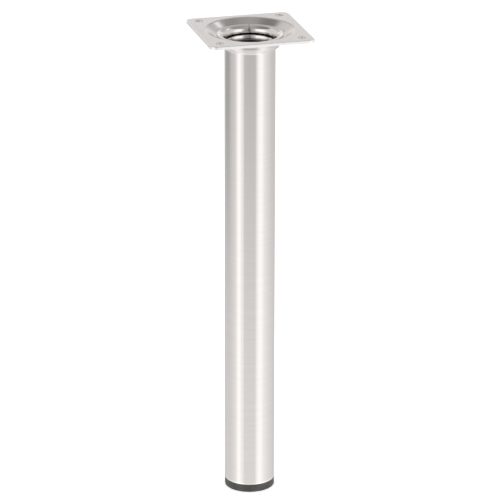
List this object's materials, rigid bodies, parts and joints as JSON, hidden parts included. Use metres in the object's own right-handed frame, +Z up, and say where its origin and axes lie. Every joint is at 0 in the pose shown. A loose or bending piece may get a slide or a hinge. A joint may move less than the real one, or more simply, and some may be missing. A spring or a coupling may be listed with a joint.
{
  "type": "furniture leg",
  "caption": "Round steel furniture leg with a dished square mounting plate flared onto its top and a black plastic foot cap.",
  "frame": {"origin": "middle of the foot's underside, on the tube's axis", "axes": "+Z up along the tube to the mounting plate, X and Y along the sides of the plate"},
  "size_m": [0.0624, 0.0624, 0.288],
  "materials": {
    "satin_plate": "satin plated pressed steel",
    "brushed_tube": "finely brushed around the tube",
    "black_plastic": "matt black"
  },
  "bodies": {
    "root": {"mounting_plate": "satin_plate", "leg_tube": "brushed_tube", "foot_cap": "black_plastic"}
  },
  "joints": []
}
